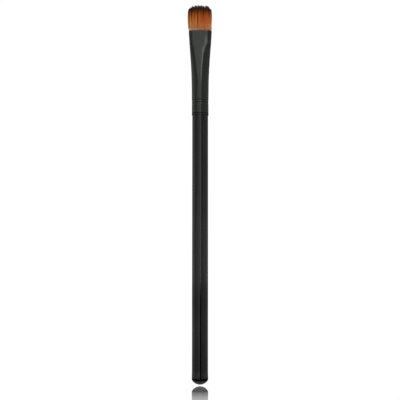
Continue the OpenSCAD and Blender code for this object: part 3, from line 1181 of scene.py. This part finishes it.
@dataclass(frozen=True)
class HairBed:
    """The hairs where they leave the mouth, whose places u and v run from -1 to 1 over it."""

    mouth_z: float
    section: FlatSection
    u: np.ndarray
    v: np.ndarray
    lock: Lock


@dataclass(frozen=True)
class HairTones:
    """How the hairs differ in colour.

    All spans but the limits are places across the width, from -1 to 1.
    """

    by_lock: float = 0.09
    by_hair: float = 0.09
    limits: Span = (0.25, 1.7)
    streak_fade_share: float = 0.35
    gold: float = 0.66
    gold_less_right: float = 0.42
    gold_right: Span = (-0.45, 0.15)
    gold_more_border: float = 0.5
    gold_border: Span = (0.78, 0.94)
    gold_by_lock: float = 0.16
    right_side: Span = (-0.9, 0.2)
    # The dark tips follow this share of the crown's dome, and stray from it
    crown_share: float = 0.35
    face_share: float = 0.5
    tip_stray: float = 0.12 * MM
    # The foot's heights grow by this share to the right and shrink by it to the left
    foot_slant: float = 0.4


@dataclass
class HairTuft:
    """The flat tuft: fine tapered hairs that lie in locks and end in a domed, pointed crown."""

    length: float = 11.8 * MM
    buried: float = 3.0 * MM
    hair_radius: float = 0.042 * MM
    spacing: float = 0.079 * MM
    row_share: float = 0.87
    jitter_share: float = 0.3
    # The crown's dome and corners, and how single hairs and locks stray from it
    crown_drop: float = 1.05 * MM
    corner_drop_left: float = 1.35 * MM
    corner_drop_right: float = 0.70 * MM
    corner_power: float = 8.0
    face_drop: float = 1.2 * MM
    hair_scatter: float = 0.16 * MM
    lock_scatter: float = 0.16 * MM
    lock_rise: float = 0.3 * MM
    point_drop: float = 0.45 * MM
    # A streak with more painted shade than this parts the hairs, and notches the crown away from its corners
    parting: float = 0.3
    parted_share: float = 0.1
    notch_drop: float = 0.5 * MM
    notch_width: float = 0.2 * MM
    notch_reach: float = 3.0 * MM
    # The locks, and how their hairs gather towards the middle of the lock, most at the tips
    lock_width: float = 1.15 * MM
    lock_depth: float = 0.6 * MM
    column_jitter: float = 0.3
    lock_jitter: float = 0.25
    gather: float = 0.08
    gather_from: float = 0.88
    gather_tip: float = 0.20
    gather_by_lock: float = 0.10
    border_power: float = 8.0
    # How far locks and hairs lean at the crown, across the width and through the thickness
    lean: float = -0.2 * MM
    lean_within: float = 0.15
    lock_lean: Span = (0.10 * MM, 0.07 * MM)
    hair_lean: Span = (0.035 * MM, 0.03 * MM)
    curl: float = 0.03 * MM
    curl_turn: float = 6.0
    curl_chance: float = 3.0
    # How much half the tuft's width and thickness grow above the mouth, at shares of its length
    level_shares: tuple[float, ...] = (0.0, 0.05, 0.09, 0.25, 0.40, 0.60, 0.74, 0.85, 1.0)
    side_shares: tuple[float, ...] = (0.0, 0.30, 0.36, 0.42, 0.54, 0.58, 0.47, 0.36, 0.22)
    face_shares: tuple[float, ...] = (0.07, 0.22, 0.26, 0.32, 0.34, 0.22, 0.05, -0.12, -0.45)
    swell: float = 1.0 * MM
    # Each hair's rings: the buried one first, then these shares of its free length
    hair_sides: int = 3
    ring_shares: tuple[float, ...] = (0.0, 0.06, 0.24, 0.46, 0.68, 0.86, 0.94)
    ring_radii: tuple[float, ...] = (1.0, 1.0, 1.0, 1.0, 1.0, 0.96, 0.78, 0.5)
    streaks: tuple[Streak, ...] = (
        Streak(-4.80 * MM, 11.5 * MM, 0.22 * MM, 0.30),
        Streak(-4.33 * MM, 12.0 * MM, 0.24 * MM, -0.72),
        Streak(-3.92 * MM, 8.0 * MM, 0.24 * MM, 0.85),
        Streak(-3.05 * MM, 8.5 * MM, 0.26 * MM, -0.22),
        Streak(-2.58 * MM, 8.5 * MM, 0.26 * MM, 0.36),
        Streak(-1.72 * MM, 11.0 * MM, 0.24 * MM, -0.35),
        Streak(-1.16 * MM, 12.2 * MM, 0.35 * MM, 0.58),
        Streak(-0.40 * MM, 9.5 * MM, 0.24 * MM, -0.25),
        Streak(0.48 * MM, 8.0 * MM, 0.24 * MM, 0.16),
        Streak(1.36 * MM, 7.2 * MM, 0.26 * MM, 0.62),
        Streak(2.30 * MM, 5.5 * MM, 0.18 * MM, 0.25),
        Streak(3.10 * MM, 7.0 * MM, 0.26 * MM, -0.30),
        Streak(3.80 * MM, 7.0 * MM, 0.20 * MM, 0.20),
    )
    tones: HairTones = HairTones()
    seed: int = 23

    @property
    def partings(self) -> list[Streak]:
        """The streaks that part the hairs."""
        return [streak for streak in self.streaks if streak.painted_shade > self.parting]

    def places(self, section: FlatSection) -> np.ndarray:
        """Where the hairs leave the mouth.

        Args:
            section: The inside of the mouth.

        Returns:
            An array of places, each coordinate a share of the section's half size.
        """
        rng = np.random.default_rng(self.seed)
        rows = int(2.0 * section.half_thickness / (self.spacing * self.row_share))
        found = []
        for j in range(rows):
            v = (2 * j + 1) / rows - 1.0
            reach = (1.0 - v * v) ** (1.0 / section.power)
            columns = int(2.0 * section.half_width * reach / self.spacing) + j % 2
            u = np.linspace(-1.0, 1.0, columns) * reach
            found.append(np.column_stack([u, np.full(columns, v)]))
        places = np.concatenate(found)
        jitter = rng.uniform(-self.jitter_share, self.jitter_share, places.shape) * self.spacing
        return np.clip(places + jitter / np.array([section.half_width, section.half_thickness]), -1.0, 1.0)

    def locks(self, places: np.ndarray, section: FlatSection) -> Lock:
        """Gathers the hairs into locks, each hair into the nearest.

        Args:
            places: The hairs' places.
            section: The inside of the mouth.

        Returns:
            What each hair has from its lock.
        """
        rng = np.random.default_rng(self.seed + 1)
        half = np.array([section.half_width, section.half_thickness])
        size = np.array([self.lock_width, self.lock_depth]) / half
        across = np.arange(-1.0, 1.0, size[0]) + 0.5 * size[0]
        through = np.arange(-1.0, 1.0, size[1]) + 0.5 * size[1]
        across = across + rng.uniform(-self.column_jitter, self.column_jitter, across.size) * size[0]
        grid = np.array([(u, v) for v in through for u in across])
        grid = grid + rng.uniform(-self.lock_jitter, self.lock_jitter, grid.shape) * size
        apart = (places[:, None, :] - grid[None, :, :]) * half
        nearest = np.argmin((apart**2).sum(axis=2), axis=1)
        lean = rng.uniform(-1.0, 1.0, (len(grid), 2))
        chance = rng.uniform(-1.0, 1.0, (len(grid), 4))
        off = np.abs(apart[np.arange(len(places)), nearest, 0])
        return Lock(grid[nearest], lean[nearest], chance[nearest], off)

    def bed(self, ferrule: Ferrule) -> HairBed:
        """Sets the hairs in the mouth.

        Args:
            ferrule: The ferrule that holds the tuft.

        Returns:
            The bed of hairs.
        """
        mouth_z, outer = ferrule.section(1.0)
        inset = ferrule.wall + self.hair_radius
        section = FlatSection(outer.half_width - inset,
                              outer.half_thickness - inset - ferrule.pad_press, outer.power)
        places = self.places(section)
        return HairBed(mouth_z, section, places[:, 0], places[:, 1], self.locks(places, section))

    def crown(self, u: np.ndarray, v: np.ndarray) -> np.ndarray:
        """How far the cut of the crown lies below its highest point.

        Args:
            u: Places across the width, from -1 to 1.
            v: Places through the thickness, from -1 to 1.

        Returns:
            The drop at each place.
        """
        drop = np.where(u < 0.0, self.corner_drop_left, self.corner_drop_right)
        corner = drop * np.abs(u) ** self.corner_power
        return self.crown_drop * u**2 + corner + self.face_drop * v**2

    def tips(self, bed: HairBed, rng: np.random.Generator) -> np.ndarray:
        """Cuts the hairs: a dome, pointed by locks, ragged by hairs and notched by partings.

        Args:
            bed: The bed of hairs.
            rng: The tuft's chances.

        Returns:
            The height of each tip.
        """
        lock = bed.lock
        point = np.minimum(lock.off / (0.5 * self.lock_width), 1.0) ** 2
        tip = bed.mouth_z + self.length + self.lock_rise - self.crown(bed.u, bed.v)
        tip -= self.hair_scatter * rng.random(bed.u.size) ** 2 + self.point_drop * point
        tip -= self.lock_scatter * (0.5 + 0.5 * lock.chance[:, 0])
        across = bed.u * (bed.section.half_width + self.swell * self.side_shares[-1]) + self.lean
        for streak in self.partings:
            if abs(streak.place) < self.notch_reach:
                tip -= self.notch_drop * bell((across - streak.place) / self.notch_width)
        return tip

    def grown(self, half: float, shares: tuple[float, ...], level: np.ndarray) -> np.ndarray:
        """Half the tuft's width or thickness at each level, from its half size at the mouth."""
        return half + self.swell * np.interp(level, self.level_shares, shares)

    def follow(self, bed: HairBed, tip: np.ndarray, rng: np.random.Generator) -> list[np.ndarray]:
        """Follows the hairs from inside the ferrule to their tips.

        Args:
            bed: The bed of hairs.
            tip: The height of each tip.
            rng: The tuft's chances.

        Returns:
            The middle of every hair at each of its rings, and then its tip.
        """
        u, v, lock, top = bed.u, bed.v, bed.lock, bed.mouth_z + self.length
        wave = rng.uniform(-1.0, 1.0, (u.size, 5))
        inner = 1.0 - np.abs(u) ** self.border_power
        at_tip = self.gather_tip + self.gather_by_lock * lock.chance[:, 1]
        centres = []
        for k, share in enumerate((0.0, *self.ring_shares, 1.0)):
            z = bed.mouth_z + (tip - bed.mouth_z) * share - (0.0 if k else self.buried)
            level = np.clip((z - bed.mouth_z) / self.length, 0.0, 1.0)
            side = self.grown(bed.section.half_width, self.side_shares, level)
            face = self.grown(bed.section.half_thickness, self.face_shares, level)
            pull = self.gather * level**2 + at_tip * rise(share, self.gather_from, 1.0)
            x = (u + (lock.centre[:, 0] - u) * pull * inner) * side
            y = (v + (lock.centre[:, 1] - v) * pull) * face
            leans = [self.lock_lean[i] * lock.lean[:, i] * level**2 + self.hair_lean[i] * wave[:, i] * level
                     for i in (0, 1)]
            x += leans[0] * inner + self.lean * rise(level, 0.0, self.lean_within)
            curled = np.sin(self.curl_turn * level + self.curl_chance * wave[:, 2])
            x += self.curl * curled * wave[:, 3] * level
            y += leans[1]
            for streak in self.partings:
                apart = (x - streak.place) / streak.width
                opened = np.clip((z - top + streak.length) / streak.length, 0.0, 1.0) ** 0.5
                x += np.sign(apart) * np.exp(-np.abs(apart)) * self.parted_share * streak.width * opened
            centres.append(np.column_stack([x, y, z]))
        return centres

    def tubes(self, centres: list[np.ndarray], rng: np.random.Generator) -> tuple[np.ndarray, np.ndarray]:
        """Draws a tapered tube with a pointed tip round each hair's middle.

        Args:
            centres: The middle of every hair at each ring, and then its tip.
            rng: The tuft's chances.

        Returns:
            Each hair's points, and the faces as numbers of those points.
        """
        count, levels, sides = len(centres[0]), len(centres) - 1, self.hair_sides
        turn = rng.uniform(0.0, FULL_TURN, count)
        points = np.zeros((count, levels * sides + 1, 3))
        faces = [(2, 1, 0)]
        for k in range(levels):
            for i in range(sides):
                here, j = k * sides, (i + 1) % sides
                angle = turn + FULL_TURN * i / sides
                round_it = np.column_stack([np.cos(angle), np.sin(angle), np.zeros(count)])
                points[:, here + i] = centres[k] + round_it * (self.hair_radius * self.ring_radii[k])
                if k == levels - 1:
                    faces.append((here + i, here + j, levels * sides))
                else:
                    faces.append((here + i, here + j, here + sides + j))
                    faces.append((here + i, here + sides + j, here + sides + i))
        points[:, -1] = centres[-1]
        return points, np.array(faces)

    def describe(self, bed: HairBed, points: np.ndarray, rng: np.random.Generator) -> dict[str, np.ndarray]:
        """What the finish reads of each hair.

        Args:
            bed: The bed of hairs.
            points: Each hair's points.
            rng: The tuft's chances.

        Returns:
            For each name, a value for every point.
        """
        u, lock, tones = bed.u, bed.lock, self.tones
        x, z, top = points[:, :, 0], points[:, :, 2], bed.mouth_z + self.length
        own = 1.0 + tones.by_lock * lock.chance[:, 2] + rng.normal(0.0, tones.by_hair, u.size)
        tone_and_painted_shade = np.broadcast_to(own[:, None], x.shape)
        # Each streak paints shade into a parting between locks, or a painted highlight where its amount is
        # below 0
        for streak in self.streaks:
            along = ease((z - top + streak.length) / (tones.streak_fade_share * streak.length))
            tone_and_painted_shade = tone_and_painted_shade * (1.0 - streak.painted_shade * bell((x - streak.place) / streak.width) * along)
        cut = top - tones.crown_share * self.crown(u, tones.face_share * bed.v)
        stray = tones.tip_stray * (rng.normal(0.0, 1.0, u.size) + lock.chance[:, 0])
        gold = (tones.gold - tones.gold_less_right * rise(u, *tones.gold_right)
                + tones.gold_more_border * rise(np.abs(u), *tones.gold_border)
                + tones.gold_by_lock * lock.chance[:, 3])
        return {
            "from_tip": np.maximum((cut + stray)[:, None] - z, 0.0),
            "from_foot": np.maximum(z - bed.mouth_z, 0.0) / (1.0 - tones.foot_slant * u)[:, None],
            "tone_and_painted_shade": np.clip(tone_and_painted_shade, *tones.limits),
            "gold": np.broadcast_to(np.clip(gold, 0.0, 1.0)[:, None], x.shape),
            "side": np.broadcast_to(rise(u, *tones.right_side)[:, None], x.shape),
        }

    def build(self, ferrule: Ferrule) -> bpy.types.Object:
        """Lays every hair.

        Args:
            ferrule: The ferrule that holds the tuft.

        Returns:
            The tuft's object, with what its finish reads of each hair.
        """
        rng = np.random.default_rng(self.seed + 2)
        bed = self.bed(ferrule)
        centres = self.follow(bed, self.tips(bed, rng), rng)
        points, pattern = self.tubes(centres, rng)
        count, size = points.shape[:2]
        faces = (np.arange(count)[:, None, None] * size + pattern).reshape(-1, 3)
        piece = make_piece("hair_tuft_dressed", points, faces.tolist(), sharp=180.0)
        for name, values in self.describe(bed, points, rng).items():
            attribute = piece.data.attributes.new(name, "FLOAT", "POINT")
            attribute.data.foreach_set("value", values.astype(np.float32).ravel())
        return piece

    def dress(self, piece: bpy.types.Object, finish: BrownHair, effects: EffectLibrary) -> None:
        """Finishes the tuft and puts it in the CAD tuft's place.

        Args:
            piece: The tuft's object.
            finish: The hair's finish.
            effects: The shared effects.
        """
        piece.data.materials.append(finish.material(effects))
        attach(piece, "root")
        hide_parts("hair_tuft")


@dataclass
class InnerJoints:
    """What holds the brush together out of sight: glue, thread and resin, as CAD made them."""

    glue: SetResin = SetResin(
        "joint_glue", "glue", (0.74, 0.58, 0.28), (0.5, 0.33, 0.1), 3200.0, (0.22, 0.44))
    resin: SetResin = SetResin("root_resin", "resin")
    thread: CottonThread = CottonThread("root_thread_cotton", "thread")

    def dress(self, effects: EffectLibrary) -> list[str]:
        """Gives each CAD node its finish.

        Args:
            effects: The shared effects.

        Returns:
            The names of the nodes.
        """
        finishes = {"tenon_glue": self.glue, "root_thread": self.thread, "resin_plug": self.resin}
        for node, finish in finishes.items():
            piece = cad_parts[node]
            piece.data.materials.clear()
            piece.data.materials.append(finish.material(effects))
        return list(finishes)


# The studio


@dataclass(frozen=True)
class WallPanel:
    """A glowing panel of the tent round the brush, as angles in degrees seen from the brush.

    Azimuth is measured from the camera's side towards +X, and elevation from the floor.
    """

    left: float
    right: float
    low: float
    high: float
    glow: float
    edge: float = 3.0

    def light(self, graph: Graph, azimuth: Socket, elevation: Socket) -> Socket:
        """The panel's glow in each direction.

        Args:
            graph: The surroundings' graph.
            azimuth: The azimuth in degrees.
            elevation: The elevation in degrees.

        Returns:
            The glow's socket.
        """
        across = graph.window(azimuth, self.left, self.right, self.edge)
        up = graph.window(elevation, self.low, self.high, self.edge)
        return graph.maths("MULTIPLY", graph.maths("MULTIPLY", across, up), self.glow)


@dataclass(frozen=True)
class SoftBox:
    """A soft lamp high above the brush, placed by its direction in degrees and its distance."""

    name: str
    azimuth: float
    elevation: float
    distance: float
    width: float
    height: float
    watts: float

    def build(self, target: Vector) -> None:
        """Hangs the lamp, facing the brush.

        Args:
            target: The point that it faces.
        """
        lamp = bpy.data.lights.new(self.name, "AREA")
        lamp.shape = "RECTANGLE"
        lamp.size, lamp.size_y = self.width, self.height
        lamp.energy = self.watts
        holder = bpy.data.objects.new(self.name, lamp)
        bpy.context.scene.collection.objects.link(holder)
        side, up = math.radians(self.azimuth), math.radians(self.elevation)
        away = Vector((math.sin(side) * math.cos(up), -math.cos(side) * math.cos(up), math.sin(up)))
        holder.location = target + away * self.distance
        holder.rotation_euler = away.to_track_quat("Z", "Y").to_euler()
        holder.visible_camera = False


@dataclass
class Studio:
    """A pale light tent with glowing panels, a polished floor, three lamps and the camera."""

    middle: float = 82.0 * MM
    floor_z: float = -0.355 * MM
    floor_half: float = 1.5
    camera_distance: float = 400.0 * MM
    camera_height: float = 54.63 * MM
    camera_aside: float = -0.05 * MM
    camera_tilt: float = 3.65
    camera_roll: float = 0.05
    nearest_seen: float = 10.0 * MM
    focal_pixels: float = 913.5
    image_pixels: float = 400.0
    sensor: float = 36.0
    dimmest: float = 0.02
    panels: tuple[WallPanel, ...] = (
        # The tent's even glow, open at the back
        WallPanel(-150.0, 150.0, -95.0, 95.0, 0.29, 30.0),
        # Low panels, which the handle mirrors
        WallPanel(-46.0, 13.0, -60.0, 10.0, 0.15),
        WallPanel(-150.0, 150.0, -60.0, 3.0, 0.085, 8.0),
        WallPanel(-60.0, -31.0, -60.0, 3.0, 0.20, 6.0),
        WallPanel(31.0, 120.0, -60.0, 3.0, 0.13, 8.0),
        WallPanel(-46.0, -20.0, 9.5, 13.5, 0.42),
        WallPanel(-29.0, 13.0, -60.0, 10.0, 0.20),
        WallPanel(-13.0, 13.0, -60.0, 10.0, 0.18),
        WallPanel(-1.0, 13.0, -60.0, 10.0, 0.34),
        # High panels at the front, which the ferrule mirrors
        WallPanel(-22.0, 15.0, 10.0, 52.0, 0.72),
        WallPanel(-35.0, -22.0, 17.0, 52.0, 0.72),
        WallPanel(6.0, 16.0, 17.0, 52.0, 1.45),
        # The sides and the back
        WallPanel(40.0, 66.0, -60.0, 45.0, 0.07),
        WallPanel(66.0, 120.0, -60.0, 45.0, 0.08),
        WallPanel(-130.0, -78.0, -60.0, 45.0, 0.26, 10.0),
        WallPanel(164.0, 181.0, -60.0, 45.0, 0.5),
        WallPanel(-181.0, -166.0, -60.0, 45.0, 0.5),
        # The tent's roof
        WallPanel(-181.0, 181.0, 50.0, 95.0, 0.9, 12.0),
    )
    lamps: tuple[SoftBox, ...] = (
        SoftBox("high_key", -32.0, 63.0, 1.1, 1.1, 0.7, 14.9),
        SoftBox("high_side", 62.0, 54.0, 1.1, 1.1, 0.9, 8.5),
        SoftBox("high_back", 180.0, 54.0, 1.1, 1.1, 0.9, 6.0),
    )

    def world(self) -> None:
        """Surrounds the brush with the tent: plain white to the camera and in the floor's mirror."""
        world = bpy.data.worlds.new("light_tent")
        world.use_nodes = True
        bpy.context.scene.world = world
        graph = Graph(world.node_tree)
        away = graph.node("TexCoord").outputs["Generated"]
        azimuth = graph.azimuth(away)
        height = graph.node("SeparateXYZ", {}, {0: away}).outputs[2]
        elevation = graph.maths("DEGREES", graph.maths("ARCSINE", height))
        glow: float | Socket = self.dimmest
        for panel in self.panels:
            glow = graph.maths("ADD", glow, panel.light(graph, azimuth, elevation))
        path = graph.node("LightPath")
        plain = graph.maths("MAXIMUM", path.outputs["Is Camera Ray"], path.outputs["Is Singular Ray"])
        level = graph.node("Mix", {"data_type": "FLOAT"}, {0: plain, 2: glow, 3: WHITE_GLOW}).outputs[0]
        shade = graph.node("Background", {}, {"Color": PLAIN_WHITE, "Strength": level})
        graph.node("OutputWorld", {}, {"Surface": shade.outputs[0]})

    def floor(self, finish: PolishedFloor, effects: EffectLibrary) -> None:
        """Lays the floor.

        Args:
            finish: The floor's finish.
            effects: The shared effects.
        """
        h = self.floor_half
        corners = np.array([[-h, -h, 0.0], [h, -h, 0.0], [h, h, 0.0], [-h, h, 0.0]])
        piece = make_piece("floor", corners, [(0, 1, 2, 3)])
        piece.location.z = self.floor_z
        piece.data.materials.append(finish.material(effects))

    def camera(self) -> None:
        """Sets up the camera where the photograph's stood."""
        lens = bpy.data.cameras.new("camera")
        lens.sensor_width = self.sensor
        lens.lens = self.sensor * self.focal_pixels / self.image_pixels
        lens.clip_start = self.nearest_seen
        holder = bpy.data.objects.new("camera", lens)
        bpy.context.scene.collection.objects.link(holder)
        tilt = Matrix.Rotation(math.radians(90.0 + self.camera_tilt), 4, "X")
        roll = Matrix.Rotation(math.radians(self.camera_roll), 4, "Z")
        place = Matrix.Translation((self.camera_aside, -self.camera_distance, self.camera_height))
        holder.matrix_world = place @ tilt @ roll
        bpy.context.scene.camera = holder

    def build(self, floor: PolishedFloor, effects: EffectLibrary) -> None:
        """Builds the whole studio.

        Args:
            floor: The floor's finish.
            effects: The shared effects.
        """
        self.world()
        self.camera()
        self.floor(floor, effects)
        for lamp in self.lamps:
            lamp.build(Vector((0.0, 0.0, self.middle)))
        bpy.context.scene.view_settings.view_transform = "Standard"


def report(piece: bpy.types.Object) -> None:
    """Logs a piece with its number of faces."""
    LOG.info("%s: %d faces", piece.name, len(piece.data.polygons))


def main() -> None:
    """Builds the studio, and then builds and dresses the brush, piece by piece."""
    effects = EffectLibrary()
    studio = Studio()
    studio.build(PolishedFloor("polished_floor", ""), effects)
    LOG.info("studio: %d lamps", len(studio.lamps))

    ferrule, handle, tuft = Ferrule(), Handle(), HairTuft()
    handle_piece = handle.build(ferrule)
    handle.dress(handle_piece, BlackLacquer("black_lacquer", "handle_lacquer"), effects)
    report(handle_piece)
    ferrule_piece = ferrule.build()
    ferrule.dress(ferrule_piece, SatinCoat("satin_coat", "ferrule_coat"), effects)
    report(ferrule_piece)
    tuft_piece = tuft.build(ferrule)
    tuft.dress(tuft_piece, BrownHair("brown_hair", "hair"), effects)
    report(tuft_piece)
    for node in InnerJoints().dress(effects):
        LOG.info("%s: CAD node with a finish of its own", node)


if __name__ == "__main__":
    logging.basicConfig(level=logging.INFO, format="%(name)s: %(message)s")
    main()
